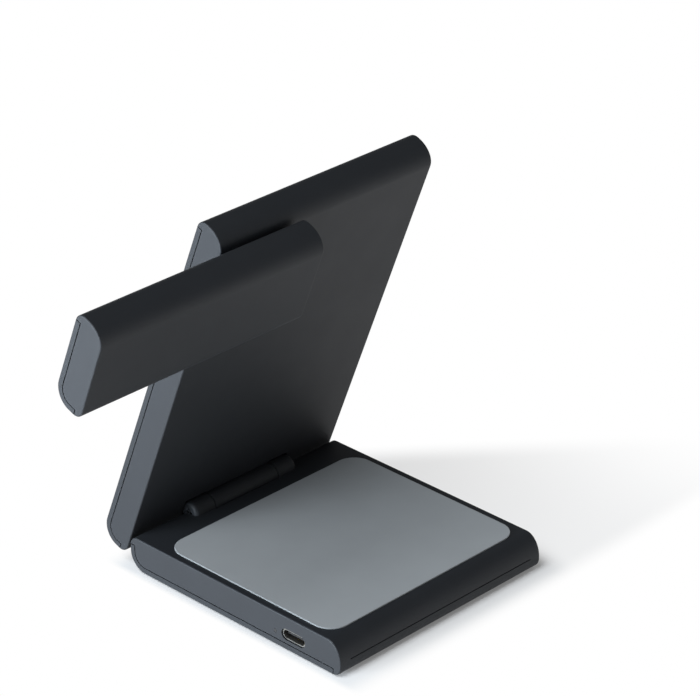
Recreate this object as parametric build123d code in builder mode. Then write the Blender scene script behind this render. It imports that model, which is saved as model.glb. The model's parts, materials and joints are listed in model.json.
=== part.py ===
from build123d import *
from math import cos, radians, sin
import os

# Folding wireless charger of three flat leaves, each with a coil: a base, a stand hinged to it,
# and an arm on the stand's inner face that swings out sideways.
# Millimetres. Origin on the resting plane, under the middle of the base; +X along the hinge, +Z up.
# The hinge is at the base's +Y end, and the stand leans back over the base.

# Overall sizes
width = 82.4
base_depth = 85.2
base_thick = 10.6
stand_thick = 10.4
stand_drop = 7.9
open_angle = 68.8
arm_length = 81.0
arm_height = 30.8
arm_thick = 10.8
arm_low = 83.6
arm_gap = 1.3
stand_above_arm = 1.1

# Leaf section: a long round at the nose's inner edge and at the heel's outer edge, small corners elsewhere
nose_run = 5.2
nose_rise = 6.8
heel_run = 6.0
heel_rise = 5.8
corner_r = 3.0
edge_r = 0.4
cover_thick = 1.8
cover_lip = 2.8
nose_lip = 3.0
seam = 0.3
wall = 1.6
roof = 1.8
hinge_land = 8.0

# Charging mats, let into the leaves' faces and a little proud of them, and the pad underneath
mat_margin = 2.3
mat_nose_margin = 0.6
mat_hinge_gap = 5.6
mat_r = 6.5
mat_thick = 0.6
mat_proud = 0.3
mat_edge_r = 0.25
phone_pad_low = 9.0
phone_pad_nose_margin = 10.5
foot_margin = 4.2
foot_nose_margin = 4.6
foot_heel_margin = 8.6
foot_proud = 0.5
pad_trim = 0.1

# Fine line along the base's nose
nose_line_rise = 4.5
nose_line_inset = 4.0
nose_line_deep = 0.5

# Fold hinge
hinge_inset = 2.4
rear_overhang = 0.55
knuckle_r = 3.4
knuckle_half = 20.5
knuckle_end_r = 1.2
barrel_half = 12.7
knuckle_gap = 0.35
hinge_pin_r = 1.25
sleeve_wall = 0.7
pin_recess = 0.6
run_fit = 0.05

# Swing arm pivot
pivot_from_end = 13.75
arm_inset = 0.7
pivot_r = 5.0
pivot_bore_r = 3.2
bush_wall = 1.2
flange_extra = 3.0
flange_thick = 0.8
clip_width = 1.4
clip_thick = 0.8
clip_groove = 0.6
clip_mouth = 5.0
pivot_tail = 0.8
face_gap = 0.05

# Charging coils, ferrites and magnets
coil_thick = 1.2
ferrite_thick = 0.8
ferrite_rim = 1.5
earbud_coil_r = 19.0
earbud_coil_bore_r = 9.0
phone_coil_r = 20.0
phone_coil_bore_r = 10.0
phone_coil_rise = 58.0
magnet_count = 16
magnet_long = 8.0
magnet_wide = 4.4
magnet_thick = 1.0
magnet_ring_r = 25.0

# Round charging puck of the swing arm
puck_r = 11.0
puck_proud = 0.7
puck_height = 3.6
puck_from_end = 15.5
puck_lift = 0.6
puck_face = 0.8
puck_rim = 1.0
puck_dish = 0.35
puck_edge_r = 0.5
coil_clear = 0.2
watch_coil_bore_r = 5.6
watch_magnet_r = 4.8
watch_coil_thick = 1.2

# Circuit boards
board_thick = 1.0
main_board_x = 62.0
main_board_y = 40.0
board_from_nose = 12.6
board_setback = 0.4
post_r = 1.6
stand_board_x = 56.0
stand_board_s = 16.0
stand_board_low = 14.0
stand_board_drop = 2.0
arm_board_s = 14.0
arm_board_drop = 4.0
chip_side = 6.0
chip_thick = 0.9
inductor_side = 5.0
inductor_thick = 2.6
inductor_pitch = 8.0
inductor_count = 3
inductor_edge_r = 0.6

# Power socket and indicator, in the base's left end wall
socket_from_nose = 18.35
socket_below_top = 5.7
socket_wide = 8.94
socket_high = 3.26
socket_skin = 0.35
socket_long = 7.3
socket_setback = 0.4
socket_clear = 0.15
tongue_wide = 6.7
tongue_thick = 0.7
tongue_long = 4.4
tongue_root = 1.6
light_from_nose = 25.45
light_below_top = 6.2
light_r = 0.55
light_flange_r = 1.0
light_flange = 0.8

# Screws that hold the covers, hidden under the pads
screw_r = 1.0
screw_long = 5.0
screw_head_r = 1.9
screw_head = 0.6
screw_clear = 0.1
boss_r = 2.6
base_screw_from_end = 8.2
base_screw_from_nose = 8.6
base_screw_from_heel = 12.6
stand_screw_from_end = 7.2
stand_screw_low = 42.0
screw_below_pivot = 15.0
boss_clear = 1.0

# Places worked out from the sizes above
spare = 5.0
top_z = foot_proud + base_thick
corner = Vector(0, base_depth / 2 - rear_overhang, top_z)
up = Vector(0, -cos(radians(open_angle)), sin(radians(open_angle)))
inward = Vector(0, -sin(radians(open_angle)), -cos(radians(open_angle)))
axis_y = corner.Y - hinge_inset
nose_y = -base_depth / 2
# Swung in, the arm's pivot end lies just inside the stand's end
pivot_x = arm_inset + pivot_from_end - width / 2
arm_left = pivot_x + pivot_from_end - arm_length
arm_mid_x = arm_left + arm_length / 2
arm_mid_s = arm_low + arm_height / 2

base_side = Plane(origin=(0, base_depth / 2, foot_proud), x_dir=(0, -1, 0), z_dir=(-1, 0, 0))
stand_side = Plane(origin=corner - up * stand_drop - inward * stand_thick, x_dir=up, z_dir=(1, 0, 0))
arm_side = Plane(
    origin=corner + up * arm_low + inward * arm_gap + Vector(arm_mid_x, 0, 0),
    x_dir=up,
    z_dir=(1, 0, 0),
)
# On the stand's inner face: local x along the hinge, local y up the stand, offsets towards the base
stand_face = Plane(origin=corner, x_dir=(1, 0, 0), z_dir=inward)
hinge_line = Plane(origin=(0, axis_y, top_z), x_dir=(0, 1, 0), z_dir=(1, 0, 0))
hinge_section = Plane(origin=(0, axis_y, top_z), x_dir=(1, 0, 0), z_dir=(0, -1, 0))
hinge_axis = Axis((0, axis_y, top_z), (1, 0, 0))
left_end = Plane(origin=(-width / 2, 0, 0), x_dir=(0, 1, 0), z_dir=(1, 0, 0))
nose_front = Plane(origin=(0, nose_y, foot_proud), x_dir=(-1, 0, 0), z_dir=(0, 1, 0))

base_top = Plane.XY.offset(top_z)
base_roof = Plane.XY.offset(top_z - roof)
base_bottom = Plane.XY.offset(foot_proud)
cover_inside_z = foot_proud + cover_thick
cover_inside = Plane.XY.offset(cover_inside_z)
base_screw_x = width / 2 - base_screw_from_end
base_screw_ys = (nose_y + base_screw_from_nose, -nose_y - base_screw_from_heel)
base_screws_at = [(x, y) for x in (-base_screw_x, base_screw_x) for y in base_screw_ys]
foot_pad_x = width - 2 * foot_margin
foot_pad_y = base_depth - foot_nose_margin - foot_heel_margin
foot_pad_at = (0, (foot_nose_margin - foot_heel_margin) / 2)
mat_wide = width - 2 * mat_margin
mat_front = nose_y + nose_run + mat_nose_margin
mat_depth = axis_y - knuckle_r - knuckle_gap - mat_hinge_gap - mat_front
mat_at = (0, mat_front + mat_depth / 2)

stand_rise = arm_low + arm_height + stand_above_arm
stand_length = stand_rise + stand_drop
stand_back = stand_face.offset(-stand_thick)
stand_cover_inside = cover_thick - stand_thick
stand_screw_x = width / 2 - stand_screw_from_end
stand_screw_rises = (stand_screw_low, arm_mid_s - screw_below_pivot)
stand_screws_at = [(x, rise) for x in (-stand_screw_x, stand_screw_x) for rise in stand_screw_rises]
phone_pad_long = stand_rise - phone_pad_nose_margin - phone_pad_low
phone_pad_at = (0, phone_pad_low + phone_pad_long / 2)
phone_coil_at = (0, phone_coil_rise)
phone_coil_top = stand_face.offset(stand_cover_inside + coil_thick)
stand_board_at = (0, stand_board_low + stand_board_s / 2)

lug_long = knuckle_half - barrel_half - seam
lug_mids = (lug_long / 2 - knuckle_half, knuckle_half - lug_long / 2)
sleeve_r = hinge_pin_r + run_fit + sleeve_wall

pivot_at = (pivot_x, arm_mid_s)
bush_r = pivot_r + run_fit + bush_wall
pivot_flange_r = pivot_r + flange_extra
clip_under = -roof - flange_thick - face_gap - clip_thick
arm_back = stand_face.offset(arm_gap)
arm_cover_inside = arm_gap + cover_thick
arm_roof = arm_gap + arm_thick - roof
pivot_long = arm_cover_inside - clip_under + pivot_tail

puck_at = (arm_left + puck_from_end, arm_mid_s + puck_lift)
puck_centre = arm_back.from_local_coords(Vector(puck_at[0], puck_at[1], 0))
puck_section = Plane(origin=puck_centre, x_dir=(1, 0, 0), z_dir=-up)
puck_axis = Axis(puck_centre, inward)
puck_inside = puck_face + puck_dish - puck_proud
puck_floor = arm_back.offset(puck_inside)
puck_floor_r = puck_r - puck_rim
watch_coil_r = puck_floor_r - coil_clear

boss_room = boss_r + boss_clear
puck_boss_x = puck_at[0] + puck_r + boss_room
pivot_boss_x = pivot_x - pivot_flange_r - boss_room
arm_bosses_at = [(puck_boss_x, arm_mid_s), (pivot_boss_x, arm_mid_s)]
arm_board_at = ((puck_boss_x + pivot_boss_x) / 2, arm_mid_s)
arm_board_x = pivot_boss_x - puck_boss_x - 2 * boss_room

socket_at = (nose_y + socket_from_nose, top_z - socket_below_top)
light_at = (nose_y + light_from_nose, top_z - light_below_top)
board_top_z = socket_at[1] - socket_high / 2
board_top = Plane.XY.offset(board_top_z)
board_underside = board_top_z - board_thick
board_mid = (wall + board_setback + main_board_x / 2 - width / 2, nose_y + board_from_nose + main_board_y / 2)


def leaf_outline(plane, length, thick):
    """Side profile of a leaf, heel at the plane's origin and outer face along its x axis."""
    with BuildSketch(plane) as outline:
        with BuildLine():
            Line((heel_run, 0), (length - corner_r, 0))
            CenterArc((length - corner_r, corner_r), corner_r, -90, 90)
            Line((length, corner_r), (length, thick - nose_rise))
            EllipticalCenterArc((length - nose_run, thick - nose_rise), nose_run, nose_rise, 0, arc_size=90)
            Line((length - nose_run, thick), (corner_r, thick))
            CenterArc((corner_r, thick - corner_r), corner_r, 90, 90)
            Line((0, thick - corner_r), (0, heel_rise))
            EllipticalCenterArc((heel_run, heel_rise), heel_run, heel_rise, 180, arc_size=90)
        make_face()
    return outline.sketch


def above_cover(plane, length, thick, gap):
    """The part of a leaf's profile that its cover leaves free: all but the outer face and the heel lip."""
    inset = cover_thick + gap
    lip = thick - cover_lip + gap
    stop = length - nose_lip + gap
    with BuildSketch(plane) as region:
        with BuildLine():
            EllipticalCenterArc((heel_run, heel_rise), heel_run - inset, heel_rise - inset, 180, arc_size=90)
            Polyline(
                (heel_run, inset),
                (stop, inset),
                (stop, -spare),
                (length + spare, -spare),
                (length + spare, thick + spare),
                (-spare, thick + spare),
                (-spare, lip),
                (inset, lip),
                (inset, heel_rise),
            )
        make_face()
    return region.sketch


def cavity_outline(plane, length, thick, land):
    """Hollow of a leaf's shell, open towards the cover, from the land at its heel to the nose wall."""
    nose_corner = (length - nose_run, thick - nose_rise)
    with BuildSketch(plane) as hollow:
        with BuildLine():
            EllipticalCenterArc(nose_corner, nose_run - nose_lip, nose_rise - roof, 0, arc_size=90)
            Polyline(
                (length - nose_run, thick - roof),
                (land, thick - roof),
                (land, -spare),
                (length - nose_lip, -spare),
                (length - nose_lip, thick - nose_rise),
            )
        make_face()
    return hollow.sketch


def circles(plane, places, radius):
    """Circles of one radius at places on a plane."""
    with BuildSketch(plane) as rounds:
        with Locations(*places):
            Circle(radius)
    return rounds.sketch


def ring(plane, place, radius, bore_r):
    """A flat ring at a place on a plane."""
    with BuildSketch(plane) as band:
        with Locations(place):
            Circle(radius)
            Circle(bore_r, mode=Mode.SUBTRACT)
    return band.sketch


def rounded_pad(plane, place, long, high, trim):
    """Outline of a pad, or of its recess where trim is 0."""
    with BuildSketch(plane) as pad:
        with Locations(place):
            RectangleRounded(long - 2 * trim, high - 2 * trim, mat_r - trim)
    return pad.sketch


def hinge_pocket():
    """Room for the knuckle in the base, open behind the hinge."""
    pocket_r = knuckle_r + knuckle_gap
    with BuildSketch(hinge_line) as pocket:
        Circle(pocket_r)
        Rectangle(base_thick, 2 * pocket_r, align=(Align.MIN, Align.CENTER))
    return pocket.sketch


def corners_of(mid, long, high):
    """Four places, two post radii in from the corners of a board."""
    reach_x = long / 2 - 2 * post_r
    reach_y = high / 2 - 2 * post_r
    return [(mid[0] + sx * reach_x, mid[1] + sy * reach_y) for sx in (-1, 1) for sy in (-1, 1)]


def finish(builder, name):
    """Labels a finished piece and writes it."""
    builder.part.label = name
    export_step(builder.part, f"parts/{name}.step")


os.makedirs("parts", exist_ok=True)

board_posts_at = corners_of(board_mid, main_board_x, main_board_y)
stand_posts_at = corners_of(stand_board_at, stand_board_x, stand_board_s)
arm_posts_at = corners_of(arm_board_at, arm_board_x, arm_board_s)

# Base shell: the visible top, nose and end walls of the base, with the hinge's two outer knuckles
with BuildPart() as base_shell:
    extrude(leaf_outline(base_side, base_depth, base_thick), amount=width / 2, both=True)
    fillet(base_shell.faces().filter_by(Axis.X).edges(), edge_r)
    extrude(
        above_cover(base_side, base_depth, base_thick, seam),
        amount=width,
        both=True,
        mode=Mode.INTERSECT,
    )
    extrude(
        cavity_outline(base_side, base_depth, base_thick, hinge_land),
        amount=width / 2 - wall,
        both=True,
        mode=Mode.SUBTRACT,
    )
    extrude(circles(cover_inside, base_screws_at, boss_r), amount=base_thick - cover_thick - roof)
    extrude(rounded_pad(base_top, mat_at, mat_wide, mat_depth, 0), amount=-mat_thick, mode=Mode.SUBTRACT)
    with BuildSketch(hinge_section):
        RectangleRounded(2 * knuckle_half, 2 * knuckle_r, knuckle_end_r)
        Rectangle(2 * knuckle_half, knuckle_r, align=(Align.CENTER, Align.MIN), mode=Mode.INTERSECT)
    revolve(axis=hinge_axis)
    extrude(hinge_pocket(), amount=barrel_half + seam, both=True, mode=Mode.SUBTRACT)
    extrude(circles(hinge_line, [(0, 0)], hinge_pin_r), amount=knuckle_half, both=True, mode=Mode.SUBTRACT)
    extrude(circles(cover_inside, base_screws_at, screw_r), amount=screw_long + seam, mode=Mode.SUBTRACT)
    with BuildSketch(left_end):
        with Locations(socket_at):
            SlotOverall(socket_wide + 2 * socket_clear, socket_high + 2 * socket_clear)
        with Locations(light_at):
            Circle(light_r)
    extrude(amount=wall, mode=Mode.SUBTRACT)
    with BuildSketch(nose_front):
        with Locations((0, nose_line_rise)):
            Rectangle(width - 2 * nose_line_inset, seam)
    extrude(amount=nose_line_deep, mode=Mode.SUBTRACT)
finish(base_shell, "base_shell")

# Base cover: the underside and the heel, in one bent skin
with BuildPart() as base_cover:
    extrude(leaf_outline(base_side, base_depth, base_thick), amount=width / 2, both=True)
    fillet(base_cover.faces().filter_by(Axis.X).edges(), edge_r)
    extrude(above_cover(base_side, base_depth, base_thick, 0), amount=width, both=True, mode=Mode.SUBTRACT)
    extrude(hinge_pocket(), amount=knuckle_half + seam, both=True, mode=Mode.SUBTRACT)
    extrude(circles(cover_inside, board_posts_at, post_r), amount=board_underside - cover_inside_z)
    extrude(
        rounded_pad(base_bottom, foot_pad_at, foot_pad_x, foot_pad_y, 0),
        amount=mat_thick,
        mode=Mode.SUBTRACT,
    )
    extrude(
        circles(base_bottom.offset(mat_thick), base_screws_at, screw_head_r + screw_clear),
        amount=screw_head,
        mode=Mode.SUBTRACT,
    )
    extrude(
        circles(base_bottom, base_screws_at, screw_r + screw_clear),
        amount=cover_thick,
        mode=Mode.SUBTRACT,
    )
finish(base_cover, "base_cover")

# Non-slip pad that the charger stands on
with BuildPart() as foot_pad:
    extrude(
        rounded_pad(Plane.XY, foot_pad_at, foot_pad_x, foot_pad_y, pad_trim),
        amount=foot_proud + mat_thick,
    )
finish(foot_pad, "foot_pad")

with BuildPart() as earbud_mat:
    extrude(
        rounded_pad(base_top.offset(-mat_thick), mat_at, mat_wide, mat_depth, pad_trim),
        amount=mat_thick + mat_proud,
    )
    fillet(earbud_mat.faces().sort_by(Axis.Z)[-1].edges(), mat_edge_r)
finish(earbud_mat, "earbud_mat")

with BuildPart() as earbud_coil:
    extrude(ring(base_roof, mat_at, earbud_coil_r, earbud_coil_bore_r), amount=-coil_thick)
finish(earbud_coil, "earbud_coil")

with BuildPart() as earbud_ferrite:
    extrude(
        circles(base_roof.offset(-coil_thick), [mat_at], earbud_coil_r + ferrite_rim),
        amount=-ferrite_thick,
    )
finish(earbud_ferrite, "earbud_ferrite")

with BuildPart() as main_board:
    with BuildSketch(Plane.XY.offset(board_underside)):
        with Locations(board_mid):
            RectangleRounded(main_board_x, main_board_y, post_r)
    extrude(amount=board_thick)
finish(main_board, "main_board")

with BuildPart() as charge_controller:
    with BuildSketch(board_top):
        with Locations(board_mid):
            Rectangle(chip_side, chip_side)
    extrude(amount=chip_thick)
finish(charge_controller, "charge_controller")

with BuildPart() as power_inductors:
    with BuildSketch(board_top):
        with Locations((board_mid[0], board_mid[1] + inductor_pitch)):
            with GridLocations(inductor_pitch, inductor_pitch, inductor_count, 1):
                RectangleRounded(inductor_side, inductor_side, inductor_edge_r)
    extrude(amount=inductor_thick)
finish(power_inductors, "power_inductors")

# Power socket: a drawn metal shell round a contact tongue
with BuildPart() as socket_shell:
    with BuildSketch(left_end.offset(socket_setback)):
        with Locations(socket_at):
            SlotOverall(socket_wide, socket_high)
    extrude(amount=socket_long)
    with BuildSketch(left_end.offset(socket_setback)):
        with Locations(socket_at):
            SlotOverall(socket_wide - 2 * socket_skin, socket_high - 2 * socket_skin)
    extrude(amount=socket_long - socket_skin, mode=Mode.SUBTRACT)
finish(socket_shell, "socket_shell")

with BuildPart() as socket_tongue:
    with BuildSketch(left_end.offset(socket_setback + socket_long - socket_skin)):
        with Locations(socket_at):
            SlotOverall(socket_wide - 2 * socket_skin, socket_high - 2 * socket_skin)
    extrude(amount=-tongue_root)
    with BuildSketch(left_end.offset(socket_setback + socket_long - socket_skin - tongue_root)):
        with Locations(socket_at):
            Rectangle(tongue_wide, tongue_thick)
    extrude(amount=-tongue_long)
    tip = socket_tongue.faces().sort_by(Axis.X)[0]
    chamfer(tip.edges().filter_by(Axis.Y), tongue_thick / 4)
finish(socket_tongue, "socket_tongue")

with BuildPart() as indicator_lens:
    extrude(circles(left_end, [light_at], light_r - face_gap), amount=wall)
    extrude(circles(left_end.offset(wall), [light_at], light_flange_r), amount=light_flange)
finish(indicator_lens, "indicator_lens")

with BuildPart() as base_screws:
    extrude(circles(base_bottom.offset(mat_thick), base_screws_at, screw_head_r), amount=screw_head)
    extrude(
        circles(base_bottom.offset(mat_thick + screw_head), base_screws_at, screw_r),
        amount=cover_thick - mat_thick - screw_head + screw_long,
    )
finish(base_screws, "base_screws")

with BuildPart() as hinge_pin:
    extrude(circles(hinge_line, [(0, 0)], hinge_pin_r), amount=knuckle_half - pin_recess, both=True)
finish(hinge_pin, "hinge_pin")

# Stand shell: the face towards the base, with the hinge's middle barrel and the swing arm's bearing hole
with BuildPart() as stand_shell:
    extrude(leaf_outline(stand_side, stand_length, stand_thick), amount=width / 2, both=True)
    fillet(stand_shell.faces().filter_by(Axis.X).edges(), edge_r)
    extrude(
        above_cover(stand_side, stand_length, stand_thick, seam),
        amount=width,
        both=True,
        mode=Mode.INTERSECT,
    )
    extrude(
        cavity_outline(stand_side, stand_length, stand_thick, stand_drop + hinge_land),
        amount=width / 2 - wall,
        both=True,
        mode=Mode.SUBTRACT,
    )
    extrude(
        circles(stand_face.offset(stand_cover_inside), stand_screws_at, boss_r),
        amount=stand_thick - cover_thick - roof,
    )
    extrude(circles(stand_face.offset(-roof), stand_posts_at, post_r), amount=-stand_board_drop)
    for lug_x in lug_mids:
        extrude(
            circles(hinge_line.offset(lug_x), [(0, 0)], knuckle_r + knuckle_gap),
            amount=lug_long / 2 + seam,
            both=True,
            mode=Mode.SUBTRACT,
        )
    extrude(circles(hinge_line, [(0, 0)], knuckle_r), amount=barrel_half, both=True)
    extrude(circles(hinge_line, [(0, 0)], sleeve_r), amount=barrel_half, both=True, mode=Mode.SUBTRACT)
    extrude(circles(stand_face, [pivot_at], bush_r), amount=-roof, mode=Mode.SUBTRACT)
    extrude(
        circles(stand_face.offset(stand_cover_inside), stand_screws_at, screw_r),
        amount=screw_long + seam,
        mode=Mode.SUBTRACT,
    )
finish(stand_shell, "stand_shell")

# Stand cover: the face that carries the charging pad, bent round the stand's heel
with BuildPart() as stand_cover:
    extrude(leaf_outline(stand_side, stand_length, stand_thick), amount=width / 2, both=True)
    fillet(stand_cover.faces().filter_by(Axis.X).edges(), edge_r)
    extrude(
        above_cover(stand_side, stand_length, stand_thick, 0),
        amount=width,
        both=True,
        mode=Mode.SUBTRACT,
    )
    extrude(
        rounded_pad(stand_back, phone_pad_at, mat_wide, phone_pad_long, 0),
        amount=mat_thick,
        mode=Mode.SUBTRACT,
    )
    extrude(
        circles(stand_back.offset(mat_thick), stand_screws_at, screw_head_r + screw_clear),
        amount=screw_head,
        mode=Mode.SUBTRACT,
    )
    extrude(
        circles(stand_back, stand_screws_at, screw_r + screw_clear),
        amount=cover_thick,
        mode=Mode.SUBTRACT,
    )
finish(stand_cover, "stand_cover")

with BuildPart() as phone_pad:
    extrude(
        rounded_pad(stand_back.offset(mat_thick), phone_pad_at, mat_wide, phone_pad_long, pad_trim),
        amount=-mat_thick - mat_proud,
    )
    fillet(phone_pad.faces().sort_by(Axis(corner, inward))[0].edges(), mat_edge_r)
finish(phone_pad, "phone_pad")

with BuildPart() as phone_coil:
    extrude(
        ring(stand_face.offset(stand_cover_inside), phone_coil_at, phone_coil_r, phone_coil_bore_r),
        amount=coil_thick,
    )
finish(phone_coil, "phone_coil")

with BuildPart() as phone_ferrite:
    extrude(
        circles(phone_coil_top, [phone_coil_at], phone_coil_r + ferrite_rim),
        amount=ferrite_thick,
    )
finish(phone_ferrite, "phone_ferrite")

# Ring of magnets round the stand's coil
with BuildPart() as phone_magnets:
    with BuildSketch(stand_face.offset(stand_cover_inside)):
        with Locations(phone_coil_at):
            with PolarLocations(magnet_ring_r, magnet_count):
                Rectangle(magnet_wide, magnet_long)
    extrude(amount=magnet_thick)
finish(phone_magnets, "phone_magnets")

with BuildPart() as stand_board:
    with BuildSketch(stand_face.offset(-roof - stand_board_drop)):
        with Locations(stand_board_at):
            RectangleRounded(stand_board_x, stand_board_s, post_r)
    extrude(amount=-board_thick)
finish(stand_board, "stand_board")

with BuildPart() as phone_driver:
    with BuildSketch(stand_face.offset(-roof - stand_board_drop - board_thick)):
        with Locations(stand_board_at):
            Rectangle(chip_side, chip_side)
    extrude(amount=-chip_thick)
finish(phone_driver, "phone_driver")

with BuildPart() as stand_screws:
    extrude(circles(stand_back.offset(mat_thick), stand_screws_at, screw_head_r), amount=screw_head)
    extrude(
        circles(stand_back.offset(mat_thick + screw_head), stand_screws_at, screw_r),
        amount=cover_thick - mat_thick - screw_head + screw_long,
    )
finish(stand_screws, "stand_screws")

# Friction sleeve in the hinge barrel, closed on the pin
with BuildPart() as hinge_sleeve:
    extrude(ring(hinge_line, (0, 0), sleeve_r, hinge_pin_r + run_fit), amount=barrel_half, both=True)
finish(hinge_sleeve, "hinge_sleeve")

# Flanged bush that the swing arm's pivot turns in
with BuildPart() as pivot_bush:
    extrude(ring(stand_face, pivot_at, bush_r, pivot_r + run_fit), amount=-roof)
    extrude(
        ring(stand_face.offset(-roof), pivot_at, bush_r + flange_extra, pivot_r + run_fit),
        amount=-flange_thick,
    )
finish(pivot_bush, "pivot_bush")

# Swing arm shell: a short leaf of the same section
with BuildPart() as arm_shell:
    extrude(leaf_outline(arm_side, arm_height, arm_thick), amount=arm_length / 2, both=True)
    fillet(arm_shell.faces().filter_by(Axis.X).edges(), edge_r)
    extrude(
        above_cover(arm_side, arm_height, arm_thick, seam),
        amount=arm_length,
        both=True,
        mode=Mode.INTERSECT,
    )
    extrude(
        cavity_outline(arm_side, arm_height, arm_thick, cover_thick + seam + wall),
        amount=arm_length / 2 - wall,
        both=True,
        mode=Mode.SUBTRACT,
    )
    extrude(
        circles(stand_face.offset(arm_cover_inside), arm_bosses_at, boss_r),
        amount=arm_thick - cover_thick - roof,
    )
    extrude(circles(stand_face.offset(arm_roof), arm_posts_at, post_r), amount=-arm_board_drop)
finish(arm_shell, "arm_shell")

# Swing arm cover: the face towards the stand, with openings for the puck and the pivot
with BuildPart() as arm_cover:
    extrude(leaf_outline(arm_side, arm_height, arm_thick), amount=arm_length / 2, both=True)
    fillet(arm_cover.faces().filter_by(Axis.X).edges(), edge_r)
    extrude(above_cover(arm_side, arm_height, arm_thick, 0), amount=arm_length, both=True, mode=Mode.SUBTRACT)
    extrude(circles(arm_back, [puck_at], puck_r), amount=puck_height, mode=Mode.SUBTRACT)
    extrude(circles(arm_back, [pivot_at], pivot_r), amount=cover_thick, mode=Mode.SUBTRACT)
finish(arm_cover, "arm_cover")

# Charging puck: a dished cup that stands proud of the arm
with BuildPart() as watch_puck:
    with BuildSketch(puck_section):
        with BuildLine():
            ThreePointArc(
                (0, puck_dish - puck_proud),
                (puck_floor_r / 2, 0.75 * puck_dish - puck_proud),
                (puck_floor_r, -puck_proud),
            )
            Line((puck_floor_r, -puck_proud), (puck_r - puck_edge_r, -puck_proud))
            CenterArc((puck_r - puck_edge_r, puck_edge_r - puck_proud), puck_edge_r, -90, 90)
            Polyline(
                (puck_r, puck_edge_r - puck_proud),
                (puck_r, puck_height - puck_proud),
                (puck_r - puck_rim, puck_height - puck_proud),
                (puck_r - puck_rim, puck_inside),
                (0, puck_inside),
                (0, puck_dish - puck_proud),
            )
        make_face()
    revolve(axis=puck_axis)
finish(watch_puck, "watch_puck")

with BuildPart() as watch_coil:
    extrude(ring(puck_floor, puck_at, watch_coil_r, watch_coil_bore_r), amount=watch_coil_thick)
finish(watch_coil, "watch_coil")

with BuildPart() as watch_magnet:
    extrude(circles(puck_floor, [puck_at], watch_magnet_r), amount=watch_coil_thick)
finish(watch_magnet, "watch_magnet")

with BuildPart() as watch_ferrite:
    extrude(circles(puck_floor.offset(watch_coil_thick), [puck_at], watch_coil_r), amount=ferrite_thick)
finish(watch_ferrite, "watch_ferrite")

with BuildPart() as arm_board:
    with BuildSketch(stand_face.offset(arm_roof - arm_board_drop)):
        with Locations(arm_board_at):
            RectangleRounded(arm_board_x, arm_board_s, post_r)
    extrude(amount=-board_thick)
finish(arm_board, "arm_board")

with BuildPart() as watch_driver:
    with BuildSketch(stand_face.offset(arm_roof - arm_board_drop - board_thick)):
        with Locations(arm_board_at):
            Rectangle(chip_side, chip_side)
    extrude(amount=-chip_thick)
finish(watch_driver, "watch_driver")

# Hollow pivot: its flange lies inside the arm, its shaft passes through the stand's bush
with BuildPart() as arm_pivot:
    extrude(
        ring(stand_face.offset(arm_cover_inside), pivot_at, pivot_flange_r, pivot_bore_r),
        amount=flange_thick,
    )
    extrude(ring(stand_face.offset(arm_cover_inside), pivot_at, pivot_r, pivot_bore_r), amount=-pivot_long)
    extrude(
        ring(stand_face.offset(clip_under), pivot_at, pivot_r, pivot_r - clip_groove),
        amount=clip_thick,
        mode=Mode.SUBTRACT,
    )
finish(arm_pivot, "arm_pivot")

with BuildPart() as pivot_washer:
    extrude(
        ring(stand_face.offset(arm_gap), pivot_at, pivot_flange_r, pivot_r + run_fit),
        amount=face_gap - arm_gap,
    )
finish(pivot_washer, "pivot_washer")

# Open retaining clip in the pivot's groove
with BuildPart() as pivot_clip:
    with BuildSketch(stand_face.offset(clip_under)):
        with Locations(pivot_at):
            Circle(pivot_r + clip_width)
            Circle(pivot_r - clip_groove, mode=Mode.SUBTRACT)
        with Locations((pivot_at[0], pivot_at[1] - pivot_r)):
            Rectangle(clip_mouth, 2 * pivot_r, mode=Mode.SUBTRACT)
    extrude(amount=clip_thick)
finish(pivot_clip, "pivot_clip")
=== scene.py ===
"""Looks of a folding wireless charger: finishes for its pieces, socket contacts and a white studio."""

import json
import math

import bpy
from bpy.props import FloatProperty, FloatVectorProperty, IntProperty, PointerProperty
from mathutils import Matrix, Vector


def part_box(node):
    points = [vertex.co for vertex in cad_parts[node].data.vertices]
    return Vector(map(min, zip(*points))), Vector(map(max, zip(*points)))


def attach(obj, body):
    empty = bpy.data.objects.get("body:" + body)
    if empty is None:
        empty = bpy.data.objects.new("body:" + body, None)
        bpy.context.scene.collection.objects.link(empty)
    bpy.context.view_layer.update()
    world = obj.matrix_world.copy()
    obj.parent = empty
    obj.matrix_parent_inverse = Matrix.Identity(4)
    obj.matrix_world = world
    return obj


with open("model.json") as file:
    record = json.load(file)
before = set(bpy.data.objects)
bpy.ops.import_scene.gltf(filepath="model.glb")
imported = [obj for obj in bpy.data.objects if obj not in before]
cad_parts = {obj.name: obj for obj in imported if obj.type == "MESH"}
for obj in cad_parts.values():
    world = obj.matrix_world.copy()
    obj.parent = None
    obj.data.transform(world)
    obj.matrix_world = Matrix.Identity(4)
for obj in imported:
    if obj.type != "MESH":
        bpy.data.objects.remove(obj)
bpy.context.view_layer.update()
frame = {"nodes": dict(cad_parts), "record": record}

bl_info = {
    "name": "Folding Wireless Charger Looks",
    "version": (1, 0, 0),
    "blender": (4, 5, 0),
    "location": "3D View > Sidebar > Charger",
    "description": "Finishes, socket contacts and a white studio for a folding wireless charger",
    "category": "Material",
}

MM = 0.001
WHITE = (1, 1, 1, 1)
BLACK = (0, 0, 0, 1)
EVEN = (1, 1, 1)
SMOOTH_ANGLE = math.radians(30)
FLOOR_SIDES = 64
CLIP_END = 100


def colour(name, description, default):
    """A colour that a user would change."""
    return FloatVectorProperty(
        name=name, description=description, default=default, size=3, min=0, max=1, subtype="COLOR"
    )


def share(name, description, default):
    """A number from 0 to 1 that a user would change."""
    return FloatProperty(
        name=name, description=description, default=default, min=0, max=1, subtype="FACTOR"
    )


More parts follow.
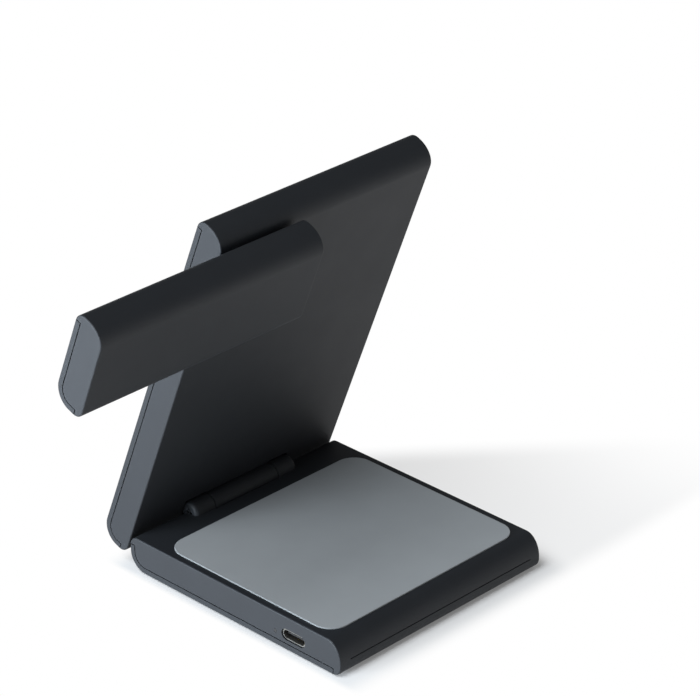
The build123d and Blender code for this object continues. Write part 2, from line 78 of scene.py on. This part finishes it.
def number(name, description, default):
    """A plain number that a user would change."""
    return FloatProperty(name=name, description=description, default=default)


def length(name, description, default):
    """A length in metres that a user would change."""
    return FloatProperty(
        name=name, description=description, default=default, unit="LENGTH", precision=5
    )


def angle(name, description, degrees):
    """An angle that a user would change."""
    return FloatProperty(
        name=name, description=description, default=math.radians(degrees), unit="ROTATION"
    )


def point(name, description, default):
    """A place in metres that a user would change."""
    return FloatVectorProperty(
        name=name, description=description, default=default, size=3, subtype="XYZ", unit="LENGTH"
    )


def watts(name, description, default):
    """The power of a lamp that a user would change."""
    return FloatProperty(name=name, description=description, default=default, min=0, unit="POWER")


class ChargerFinishes(bpy.types.PropertyGroup):
    """Colours and gloss of the charger's surfaces."""

    soft_touch: colour("Soft touch", "Matte coating of the three leaves", (0.0108, 0.0128, 0.0162))
    soft_touch_gloss: share("Soft touch roughness", "Roughness of the leaves", 0.61)
    silicone: colour("Silicone", "Charging mats", (0.3, 0.315, 0.325))
    # Rim start, rim depth, rim shade and its level paint shade into the colour of a mat's rounded rim,
    # dimming the highlight it catches.
    rim_start: length("Rim start", "How far below a mat's face its rim starts to darken", 0.005 * MM)
    rim_depth: length("Rim depth", "How far below a mat's face its rim has turned dark", 0.06 * MM)
    rim_shade: share("Rim shade", "How much painted shade darkens the rim of a mat", 0.6)
    rim_shade_level: share("Rim shade level", "Level of the painted shade against the mat's own colour", 0.3)
    rubber: colour("Rubber", "Non-slip pad under the base", (0.022, 0.022, 0.024))
    steel: colour("Steel", "Pins and clip", (0.6, 0.6, 0.61))
    # This colour is darker than the plating's own: painted shade standing in for the shade on the
    # socket's recessed rim.
    tin_and_shade: colour("Tin", "Dull plating of the socket shell, darkened with painted shade", (0.27, 0.265, 0.25))
    bronze: colour("Bronze", "Hinge sleeve", (0.5, 0.33, 0.14))
    black_zinc: colour("Black zinc", "Screws", (0.09, 0.09, 0.095))
    nickel: colour("Nickel", "Magnets", (0.66, 0.64, 0.59))
    gold: colour("Gold", "Plated contacts of the socket", (0.83, 0.6, 0.22))
    copper: colour("Copper", "Enamelled wire of the coils", (0.62, 0.25, 0.11))
    wire_pitch: length("Wire pitch", "From one turn of a coil to the next", 0.8 * MM)
    ferrite: colour("Ferrite", "Plates behind the coils", (0.05, 0.05, 0.053))
    ferrite_tile: length("Ferrite tile", "Size of the tiles that a plate has cracked into", 5 * MM)
    solder_mask: colour("Solder mask", "Circuit boards", (0.012, 0.09, 0.035))
    track_width: length("Track width", "Width of a board's tracks", 0.9 * MM)
    track_length: length("Track length", "Length of a board's tracks", 4.5 * MM)
    track_gap: length("Track gap", "Gap between a board's tracks", 0.2 * MM)
    epoxy: colour("Epoxy", "Chips and inductors", (0.02, 0.02, 0.021))
    socket_plastic: colour("Socket plastic", "Tongue of the socket", (0.012, 0.012, 0.013))
    lens: colour("Lens", "Smoky light pipe", (0.03, 0.03, 0.032))
    puck: colour("Puck", "Satin charging puck", (0.032, 0.033, 0.036))
    acetal: colour("Acetal", "Bush and washer of the pivot", (0.68, 0.67, 0.63))


class SocketContacts(bpy.types.PropertyGroup):
    """Contacts on the tongue of the power socket."""

    count: IntProperty(
        name="Contacts", description="Contacts on each side of the tongue", default=12, min=2
    )
    pitch: length("Pitch", "From one contact to the next", 0.5 * MM)
    width: length("Width", "Width of a contact", 0.27 * MM)
    reach: length("Reach", "Length of a contact along the tongue", 3.2 * MM)
    height: length("Height", "How far a contact stands proud", 0.05 * MM)
    edge: length("Edge", "Bevelled edge of a contact", 0.03 * MM)
    setback: length("Setback", "From the tongue's tip to the contacts", 0.5 * MM)


class WhiteStudio(bpy.types.PropertyGroup):
    """Floor, light and camera."""

    floor_colour: colour("Floor", "Pale floor", (0.9, 0.9, 0.9))
    floor_size: length("Floor size", "Radius of the floor", 6.0)
    # The glow settings and reaches below shape a painted white glow on the floor, which hides the
    # charger's shadow except near the base and to its right.
    floor_glow: share("Floor glow", "White of the floor past the contact shadow", 0.65)
    shadow_glow: share("Shadow glow", "White of the floor where the base meets it", 0.15)
    shadow_reach: length("Shadow reach", "From the base to where the contact shadow ends", 11 * MM)
    white_reach: length("White reach", "From the base sideways to a pure white floor", 105 * MM)
    shadow_side: number("Shadow side", "How many times further the shadow reaches sideways", 10)
    left_glow_reach: length("Left glow reach", "From the base's left end to a pure white floor", 3 * MM)
    clear_turn: angle("Clear turn", "Turn of the long shadow's far edge from straight sideways", 40)
    clear_reach: length("Clear reach", "Soft edge of the long shadow on its far side", 14 * MM)
    sky: share("Sky", "Grey of the room above the white sweep", 0.15)
    sweep_top: share("Sweep top", "Height of the sweep's edge as a share of straight up", 0.06)
    key_power: watts("Key power", "Low strip of light on the left", 12.2)
    key_place: point("Key place", "Middle of the low strip", (-0.7, 0.2, 0.07))
    key_wide: length("Key width", "Width of the low strip", 0.42)
    key_high: length("Key height", "Height of the low strip", 0.15)
    key_tint: colour("Key tint", "Colour of the low strip", (0.793, 0.897, 1.0))
    top_power: watts("Top power", "Soft light above on the left", 16)
    top_place: point("Top place", "Middle of the soft light", (-0.85, -0.12, 1.15))
    top_wide: length("Top width", "Width and height of the soft light", 0.8)
    top_tint: colour("Top tint", "Colour of the soft light", (0.92, 0.965, 1.0))
    aim: point("Aim", "Point in the middle of the view", (9.4 * MM, 3.13 * MM, 67.42 * MM))
    azimuth: angle("Azimuth", "Camera's turn to the left of the front", 45.715)
    elevation: angle("Elevation", "Camera's height above the horizon", 27.099)
    distance: length("Distance", "From the aim to the camera", 926.68 * MM)
    lens: number("Lens", "Focal length in millimetres on a 36 mm sensor", 168.2)


class Value:
    """A shader socket that takes part in Python sums: each operation adds a Math node."""

    def __init__(self, recipe, socket):
        self.recipe = recipe
        self.socket = socket

    def math(self, operation, *operands):
        return self.recipe.node("Math", {"operation": operation}, dict(enumerate(operands)))

    def __add__(self, other):
        return self.math("ADD", self, other)

    def __radd__(self, other):
        return self.math("ADD", other, self)

    def __sub__(self, other):
        return self.math("SUBTRACT", self, other)

    def __rsub__(self, other):
        return self.math("SUBTRACT", other, self)

    def __mul__(self, other):
        return self.math("MULTIPLY", self, other)

    def __rmul__(self, other):
        return self.math("MULTIPLY", other, self)

    def sine(self):
        return self.math("SINE", self)


class Recipe:
    """The nodes of one material, on a piece's own coordinates, or of a world, on its directions."""

    def __init__(self, name, world=None):
        self.material = world or bpy.data.materials.new(name)
        self.material.use_nodes = True
        self.tree = self.material.node_tree
        self.tree.nodes.clear()
        self.place = self.node("TexCoord", output="Generated" if world else "Object")

    def node(self, kind, settings=None, sockets=None, output=0):
        """Adds a node, sets it up, fills its sockets and hands back one output."""
        made = self.tree.nodes.new("ShaderNode" + kind)
        for name, value in (settings or {}).items():
            if name == "stops":
                self.set_stops(made.color_ramp, value)
            else:
                setattr(made, name, value)
        for key, value in (sockets or {}).items():
            if isinstance(value, Value):
                self.tree.links.new(value.socket, made.inputs[key])
            else:
                made.inputs[key].default_value = value
        return Value(self, made.outputs[output]) if made.outputs else None

    @staticmethod
    def set_stops(ramp, stops):
        """Gives a ramp its grey levels."""
        while len(ramp.elements) < len(stops):
            ramp.elements.new(0.5)
        for element, (position, level) in zip(ramp.elements, stops):
            element.position = position
            element.color = (level, level, level, 1)

    def vector(self, operation, *operands, output=0):
        """A Vector Math node."""
        return self.node("VectorMath", {"operation": operation}, dict(enumerate(operands)), output)

    def noise(self, cell, detail=2.0, stretch=EVEN):
        """Noise about 0.5, with cells of that size, longer where stretch is small."""
        place = self.node("Mapping", sockets={"Vector": self.place, "Scale": stretch})
        return self.node("TexNoise", sockets={"Vector": place, "Scale": 1 / cell, "Detail": detail})

    def cells(self, feature, size):
        """A distance in a pattern of cells of that size."""
        sockets = {"Vector": self.place, "Scale": 1 / size}
        return self.node("TexVoronoi", {"feature": feature}, sockets, output="Distance")

    def axis(self, name):
        """One coordinate of the place."""
        return self.node("SeparateXYZ", sockets={0: self.place}, output=name)

    def away_from(self, centre):
        """Distance from a point of the piece."""
        return self.vector("DISTANCE", self.place, centre, output="Value")

    def below(self, centre, normal):
        """Depth under a flat face, from a point on it and its normal."""
        return self.vector(
            "DOT_PRODUCT", self.vector("SUBTRACT", centre, self.place), normal, output="Value"
        )

    def beyond(self, corner, weights=EVEN):
        """Distance outside a box about the origin, from its far corner, weighted along each axis."""
        place = self.vector("SUBTRACT", self.vector("ABSOLUTE", self.place), corner)
        place = self.vector("MULTIPLY", self.vector("MAXIMUM", place, (0, 0, 0)), weights)
        return self.vector("LENGTH", place, output="Value")

    def ease(self, value, start, end, low=0.0, high=1.0):
        """A smooth step from low to high as a value goes from start to end."""
        sockets = {0: value, 1: start, 2: end, 3: low, 4: high}
        return self.node("MapRange", {"interpolation_type": "SMOOTHSTEP"}, sockets)

    def blend(self, factor, first, second):
        """A colour between two."""
        settings = {"data_type": "RGBA", "clamp_factor": True}
        return self.node("Mix", settings, {0: factor, 6: first, 7: second}, output=2)

    def tint(self, base, amount, cell):
        """A colour that wanders a little lighter and darker over the surface."""
        return self.blend(self.noise(cell), shaded(base, 1 - amount), shaded(base, 1 + amount))

    def bump(self, height, depth):
        """Normals of a relief of that depth."""
        return self.node("Bump", sockets={"Distance": depth, "Height": height}, output="Normal")

    def surface(self, **sockets):
        """Closes the material with one shader and hands it back."""
        named = {}
        for key, value in sockets.items():
            named[key.replace("_", " ").title().replace("Ior", "IOR")] = value
        shader = self.node("BsdfPrincipled", sockets=named, output="BSDF")
        self.node("OutputMaterial", sockets={"Surface": shader})
        return self.material


def shaded(base, factor=1):
    """A colour made darker or lighter, with its alpha."""
    return [min(1, level * factor) for level in base] + [1]


def uneven(middle, noise, swing):
    """A number that swings about a middle as a noise about 0.5 does."""
    return middle + swing * (noise - 0.5)


def soft_touch(looks):
    """Matte coating with a fine grain, a little uneven in gloss where hands have been."""
    recipe = Recipe("soft_touch")
    grain = recipe.noise(cell=0.16 * MM, detail=3.0)
    handling = recipe.noise(cell=14 * MM, detail=4.0)
    grained = uneven(looks.soft_touch_gloss, grain, swing=0.08)
    return recipe.surface(
        base_color=recipe.tint(looks.soft_touch, amount=0.1, cell=9 * MM),
        roughness=uneven(grained, handling, swing=0.08),
        specular_ior_level=0.39,
        normal=recipe.bump(grain, depth=0.012 * MM),
    )


def silicone(name, looks, mount):
    """Dull moulded silicone with a matte grain, and painted shade on the rim below the mount's face,
    which dims the rim's highlight.
    """
    face = next(entry for entry in frame["record"]["mounts"] if entry["name"] == mount)
    recipe = Recipe(name)
    grain = recipe.noise(cell=0.22 * MM, detail=4.0)
    unshaded = recipe.tint(looks.silicone, amount=0.05, cell=12 * MM)
    depth = recipe.below(face["pos_m"], face["axis"])
    # Painted shade: the rim's colour darkens below the mount's face.
    rim = recipe.ease(depth, looks.rim_start, looks.rim_depth, high=looks.rim_shade)
    return recipe.surface(
        base_color=recipe.blend(rim, unshaded, shaded(looks.silicone, looks.rim_shade_level)),
        roughness=uneven(0.78, grain, swing=0.12),
        specular_ior_level=0.25,
        normal=recipe.bump(grain, depth=0.015 * MM),
    )


def rubber(looks):
    """Black non-slip rubber with a pebbled face, rougher between the pebbles."""
    recipe = Recipe("black_rubber")
    pebble = recipe.cells("SMOOTH_F1", size=0.5 * MM)
    return recipe.surface(
        base_color=recipe.tint(looks.rubber, amount=0.2, cell=6 * MM),
        roughness=0.7 + 0.15 * pebble,
        normal=recipe.bump(pebble, depth=0.06 * MM),
    )


def metal(name, base, roughness, stretch=EVEN, cell=0.3 * MM):
    """Metal with fine tool lines: long where stretch is small."""
    recipe = Recipe(name)
    lines = recipe.noise(cell, detail=3.0, stretch=stretch)
    return recipe.surface(
        base_color=recipe.tint(base, amount=0.08, cell=2 * MM),
        metallic=1.0,
        roughness=uneven(roughness, lines, swing=0.16),
        normal=recipe.bump(lines, depth=0.004 * MM),
    )


def moulded(name, base, roughness, **constants):
    """Plain moulded plastic with a slight orange peel."""
    recipe = Recipe(name)
    peel = recipe.noise(cell=0.4 * MM)
    return recipe.surface(
        base_color=recipe.tint(base, amount=0.12, cell=3 * MM),
        roughness=uneven(roughness, peel, swing=0.08),
        normal=recipe.bump(peel, depth=0.006 * MM),
        **constants,
    )


def wound_wire(name, looks, node):
    """Turns of enamelled wire about the middle of a coil, dark and dull in the gaps between them."""
    low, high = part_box(node)
    recipe = Recipe(name)
    phase = recipe.away_from((low + high) / 2) * (2 * math.pi / looks.wire_pitch)
    turn = phase.sine() * 0.5 + 0.5
    return recipe.surface(
        base_color=recipe.blend(turn, shaded(looks.copper, 0.25), shaded(looks.copper)),
        metallic=0.85,
        roughness=0.45 - 0.15 * turn,
        normal=recipe.bump(turn, depth=0.2 * MM),
    )


def sintered(looks):
    """Ferrite plate, fired and cracked into small tiles."""
    recipe = Recipe("ferrite")
    crack = recipe.cells("DISTANCE_TO_EDGE", size=looks.ferrite_tile)
    face = recipe.node("ValToRGB", {"stops": ((0.0, 0.0), (0.04, 1.0))}, {0: crack})
    return recipe.surface(
        base_color=recipe.blend(face, shaded(looks.ferrite, 0.4), shaded(looks.ferrite)),
        roughness=uneven(0.6, recipe.noise(cell=0.5 * MM), swing=0.2),
        normal=recipe.bump(face, depth=0.03 * MM),
    )


def circuit_board(looks):
    """Green solder mask, lighter where it lies over raised copper tracks."""
    recipe = Recipe("circuit_board")
    settings = {"offset": 0.5, "squash": 1.0}
    sockets = {
        "Vector": recipe.place,
        "Color1": WHITE,
        "Color2": WHITE,
        "Mortar": BLACK,
        "Scale": 1.0,
        "Mortar Size": looks.track_gap,
        "Mortar Smooth": 0.1,
        "Brick Width": looks.track_length,
        "Row Height": looks.track_width,
    }
    gap = recipe.node("TexBrick", settings, sockets, output="Fac")
    return recipe.surface(
        base_color=recipe.blend(gap, shaded(looks.solder_mask, 1.6), shaded(looks.solder_mask)),
        roughness=uneven(0.33, recipe.noise(cell=0.4 * MM), swing=0.1),
        normal=recipe.bump(1 - gap, depth=0.03 * MM),
    )


def dress(finish, *nodes):
    """Gives pieces of the frame their finish."""
    for node in nodes:
        frame["nodes"][node].material_slots[0].material = finish


class CHARGER_OT_leaves(bpy.types.Operator):
    """Coats the shells and covers of the base, the stand and the swing arm"""

    bl_idname = "charger.leaves"
    bl_label = "Coat the leaves"

    def execute(self, context):
        dress(
            soft_touch(context.scene.charger_finishes),
            "base_shell", "base_cover", "stand_shell", "stand_cover", "arm_shell", "arm_cover",
        )
        return {"FINISHED"}


class CHARGER_OT_mats(bpy.types.Operator):
    """Finishes the charging mats and the non-slip pad"""

    bl_idname = "charger.mats"
    bl_label = "Finish the mats"

    def execute(self, context):
        looks = context.scene.charger_finishes
        dress(silicone("grey_silicone_mat", looks, "earbud_face"), "earbud_mat")
        dress(silicone("grey_silicone_pad", looks, "phone_face"), "phone_pad")
        dress(rubber(looks), "foot_pad")
        return {"FINISHED"}


class CHARGER_OT_puck(bpy.types.Operator):
    """Finishes the charging puck on the swing arm"""

    bl_idname = "charger.puck"
    bl_label = "Finish the charging puck"

    def execute(self, context):
        looks = context.scene.charger_finishes
        dress(moulded("puck_gloss", looks.puck, roughness=0.5, specular_ior_level=0.3), "watch_puck")
        return {"FINISHED"}


class CHARGER_OT_hinge_and_pivot(bpy.types.Operator):
    """Finishes the pins, the sleeve, the clip and the bearings of both joints"""

    bl_idname = "charger.hinge_and_pivot"
    bl_label = "Finish the hinge and the pivot"

    def execute(self, context):
        looks = context.scene.charger_finishes
        ground = metal("pin_steel", looks.steel, roughness=0.25, stretch=(6, 1, 1))
        dress(ground, "hinge_pin", "arm_pivot", "pivot_clip")
        rolled = metal("sleeve_bronze", looks.bronze, roughness=0.35, stretch=(4, 1, 1))
        dress(rolled, "hinge_sleeve")
        turned = moulded("bearing_acetal", looks.acetal, roughness=0.42)
        dress(turned, "pivot_bush", "pivot_washer")
        return {"FINISHED"}


class CHARGER_OT_coils(bpy.types.Operator):
    """Finishes the coils, the ferrites and the magnets"""

    bl_idname = "charger.coils"
    bl_label = "Finish the coils"

    def execute(self, context):
        looks = context.scene.charger_finishes
        for node in ("earbud_coil", "phone_coil", "watch_coil"):
            dress(wound_wire(node + "_wire", looks, node), node)
        dress(sintered(looks), "earbud_ferrite", "phone_ferrite", "watch_ferrite")
        plated = metal("magnet_nickel", looks.nickel, roughness=0.18, cell=0.8 * MM)
        dress(plated, "phone_magnets", "watch_magnet")
        return {"FINISHED"}


class CHARGER_OT_boards(bpy.types.Operator):
    """Finishes the circuit boards, what is soldered to them, and the cover screws"""

    bl_idname = "charger.boards"
    bl_label = "Finish the boards"

    def execute(self, context):
        looks = context.scene.charger_finishes
        dress(circuit_board(looks), "main_board", "stand_board", "arm_board")
        chips = moulded("chip_epoxy", looks.epoxy, roughness=0.5)
        dress(chips, "charge_controller", "phone_driver", "watch_driver", "power_inductors")
        blackened = metal("screw_steel", looks.black_zinc, roughness=0.4, cell=0.15 * MM)
        dress(blackened, "base_screws", "stand_screws")
        return {"FINISHED"}


class CHARGER_OT_socket(bpy.types.Operator):
    """Finishes the power socket and the indicator, and adds the contacts on the socket's tongue"""

    bl_idname = "charger.socket"
    bl_label = "Finish the power socket"

    def execute(self, context):
        looks = context.scene.charger_finishes
        drawn = (0.2, 1, 1)
        # The socket shell's plating colour carries painted shade for its recessed rim.
        dress(
            metal("socket_steel", looks.tin_and_shade, roughness=0.4, stretch=drawn, cell=0.2 * MM),
            "socket_shell",
        )
        dress(moulded("socket_plastic", looks.socket_plastic, roughness=0.4), "socket_tongue")
        dress(
            moulded("clear_lens", looks.lens, roughness=0.25, transmission_weight=0.3),
            "indicator_lens",
        )
        contacts = self.add_contacts(context.scene.socket_contacts)
        contacts.data.materials.append(
            metal("contact_gold", looks.gold, roughness=0.22, stretch=drawn, cell=0.1 * MM)
        )
        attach(contacts, "base")
        return {"FINISHED"}

    def add_contacts(self, sizes):
        """Flat bevelled strips in a row on each face of the tongue, let in by half their height."""
        low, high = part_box("socket_tongue")
        middle = (low + high) / 2
        face = blade_thickness() / 2
        row = (sizes.count - 1) * sizes.pitch
        place = (low.x + sizes.setback + sizes.reach / 2, middle.y - row / 2, middle.z + face)
        strip = (sizes.reach, sizes.width, 2 * sizes.height)
        bpy.ops.object.select_all(action="DESELECT")
        bpy.ops.mesh.primitive_cube_add(size=1, location=place, scale=strip)
        contacts = bpy.context.object
        contacts.name = "socket_contacts"
        bpy.ops.object.transform_apply(location=True, rotation=True, scale=True)
        bpy.ops.object.mode_set(mode="EDIT")
        bpy.ops.mesh.select_all(action="SELECT")
        bpy.ops.mesh.bevel(offset=sizes.edge, segments=1, affect="EDGES")
        bpy.ops.object.mode_set(mode="OBJECT")
        bpy.ops.object.modifier_add(type="ARRAY")
        array = contacts.modifiers[-1]
        array.count = sizes.count
        array.use_relative_offset = False
        array.use_constant_offset = True
        array.constant_offset_displace = (0, sizes.pitch, 0)
        bpy.ops.object.modifier_apply(modifier=array.name)
        bpy.ops.object.mode_set(mode="EDIT")
        bpy.ops.mesh.select_all(action="SELECT")
        bpy.ops.mesh.duplicate()
        bpy.ops.transform.translate(value=(0, 0, -2 * face))
        bpy.ops.object.mode_set(mode="OBJECT")
        bpy.ops.object.shade_smooth_by_angle(angle=SMOOTH_ANGLE)
        return contacts


def blade_thickness():
    """Thickness of the socket's tongue, read from the half next to its tip."""
    low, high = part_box("socket_tongue")
    corners = [vertex.co for vertex in frame["nodes"]["socket_tongue"].data.vertices]
    heights = [corner.z for corner in corners if corner.x < (low.x + high.x) / 2]
    return max(heights) - min(heights)


class CHARGER_OT_stage(bpy.types.Operator):
    """Builds the floor, the light and the camera"""

    bl_idname = "charger.stage"
    bl_label = "Build the studio"

    def execute(self, context):
        studio = context.scene.white_studio
        self.add_floor(studio)
        self.light_world(context.scene, studio)
        key = self.add_lamp(studio.key_place, studio.aim, studio.key_power, studio.key_tint)
        key.name = "key_light"
        key.data.size = studio.key_wide
        key.data.size_y = studio.key_high
        top = self.add_lamp(studio.top_place, studio.aim, studio.top_power, studio.top_tint)
        top.name = "top_light"
        top.data.size = top.data.size_y = studio.top_wide
        self.add_camera(context.scene, studio)
        context.scene.view_settings.view_transform = "Standard"
        return {"FINISHED"}

    def add_floor(self, studio):
        """A pale floor that looks white through a painted glow, apart from the charger's shadow where
        the glow is thin.
        """
        bpy.ops.object.select_all(action="DESELECT")
        bpy.ops.mesh.primitive_circle_add(
            vertices=FLOOR_SIDES, radius=studio.floor_size, fill_type="NGON"
        )
        floor = bpy.context.object
        floor.name = "floor"
        recipe = Recipe("pale_floor")
        seen = sum(
            recipe.node("LightPath", output=f"Is {ray} Ray")
            for ray in ("Camera", "Glossy", "Transmission")
        )
        glow = self.floor_glow(recipe, studio)
        shade = recipe.node("BsdfDiffuse", sockets={"Color": shaded(studio.floor_colour)})
        white = recipe.node("Emission", sockets={"Color": WHITE, "Strength": 1.0})
        both = recipe.node("MixShader", sockets={0: seen * glow, 1: shade, 2: white})
        recipe.node("OutputMaterial", sockets={"Surface": both})
        floor.data.materials.append(recipe.material)

    def floor_glow(self, recipe, studio):
        """White of the floor, a painted glow: least where the base meets it, and longest in coming on
        the right.
        """
        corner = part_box("base_shell")[1]
        contact = recipe.ease(
            recipe.beyond(corner), 0.0, studio.shadow_reach, studio.shadow_glow, studio.floor_glow
        )
        away = recipe.beyond(corner, (1, studio.shadow_side, 1))
        far = recipe.ease(away, studio.shadow_reach, studio.white_reach)
        left_end = -corner.x
        # Painted glow: the floor by the base's left end turns pure white, with no contact shadow.
        left_glow = recipe.ease(recipe.axis("X"), left_end, left_end - studio.left_glow_reach)
        into_shadow = (-math.sin(studio.clear_turn), -math.cos(studio.clear_turn), 0)
        clear = recipe.ease(recipe.below(corner, into_shadow), 0.0, studio.clear_reach)
        return 1 - (1 - contact) * (1 - far) * (1 - left_glow) * (1 - clear)

    def light_world(self, scene, studio):
        """A white sweep up to a low edge, and a grey room above it."""
        scene.world = bpy.data.worlds.new("studio_room")
        recipe = Recipe("studio_room", scene.world)
        height = recipe.axis("Z")
        fade = {0: height, 1: studio.sweep_top, 2: 2 * studio.sweep_top, 3: 1.0, 4: studio.sky}
        level = recipe.node("MapRange", sockets=fade)
        room = recipe.node("Background", sockets={"Color": WHITE, "Strength": level})
        recipe.node("OutputWorld", sockets={"Surface": room})

    def add_lamp(self, place, aim, power, tint):
        """A flat soft light that faces the charger."""
        bpy.ops.object.select_all(action="DESELECT")
        bpy.ops.object.light_add(type="AREA", location=place)
        lamp = bpy.context.object
        lamp.rotation_euler = (aim - place).to_track_quat("-Z", "Y").to_euler()
        lamp.data.shape = "RECTANGLE"
        lamp.data.energy = power
        lamp.data.color = tint
        return lamp

    def add_camera(self, scene, studio):
        """A camera that looks at the aim from the photograph's angle."""
        level = math.cos(studio.elevation)
        left, front = math.sin(studio.azimuth) * level, math.cos(studio.azimuth) * level
        back = Vector((-left, -front, math.sin(studio.elevation)))
        bpy.ops.object.select_all(action="DESELECT")
        bpy.ops.object.camera_add(location=studio.aim + back * studio.distance)
        camera = bpy.context.object
        camera.rotation_euler = (-back).to_track_quat("-Z", "Y").to_euler()
        camera.data.lens = studio.lens
        camera.data.clip_end = CLIP_END
        scene.camera = camera


class CHARGER_PT_looks(bpy.types.Panel):
    """Sidebar panel with the charger's sizes and finishes, and the operators that apply them"""

    bl_idname = "CHARGER_PT_looks"
    bl_label = "Charger"
    bl_space_type = "VIEW_3D"
    bl_region_type = "UI"
    bl_category = "Charger"

    def draw(self, context):
        for group_name, group in GROUPS.items():
            box = self.layout.box()
            for name in group.__annotations__:
                box.prop(getattr(context.scene, group_name), name)
        for operator in OPERATORS:
            self.layout.operator(operator.bl_idname)


GROUPS = {
    "charger_finishes": ChargerFinishes,
    "socket_contacts": SocketContacts,
    "white_studio": WhiteStudio,
}
OPERATORS = (
    CHARGER_OT_leaves,
    CHARGER_OT_mats,
    CHARGER_OT_puck,
    CHARGER_OT_hinge_and_pivot,
    CHARGER_OT_coils,
    CHARGER_OT_boards,
    CHARGER_OT_socket,
    CHARGER_OT_stage,
)


def register():
    for name, group in GROUPS.items():
        bpy.utils.register_class(group)
        setattr(bpy.types.Scene, name, PointerProperty(type=group))
    for cls in (*OPERATORS, CHARGER_PT_looks):
        bpy.utils.register_class(cls)


def unregister():
    for cls in reversed((*OPERATORS, CHARGER_PT_looks)):
        bpy.utils.unregister_class(cls)
    for name, group in reversed(GROUPS.items()):
        delattr(bpy.types.Scene, name)
        bpy.utils.unregister_class(group)


def main():
    register()
    bpy.ops.charger.leaves()
    bpy.ops.charger.mats()
    bpy.ops.charger.puck()
    bpy.ops.charger.hinge_and_pivot()
    bpy.ops.charger.coils()
    bpy.ops.charger.boards()
    bpy.ops.charger.socket()
    bpy.ops.charger.stage()


if __name__ == "__main__":
    main()
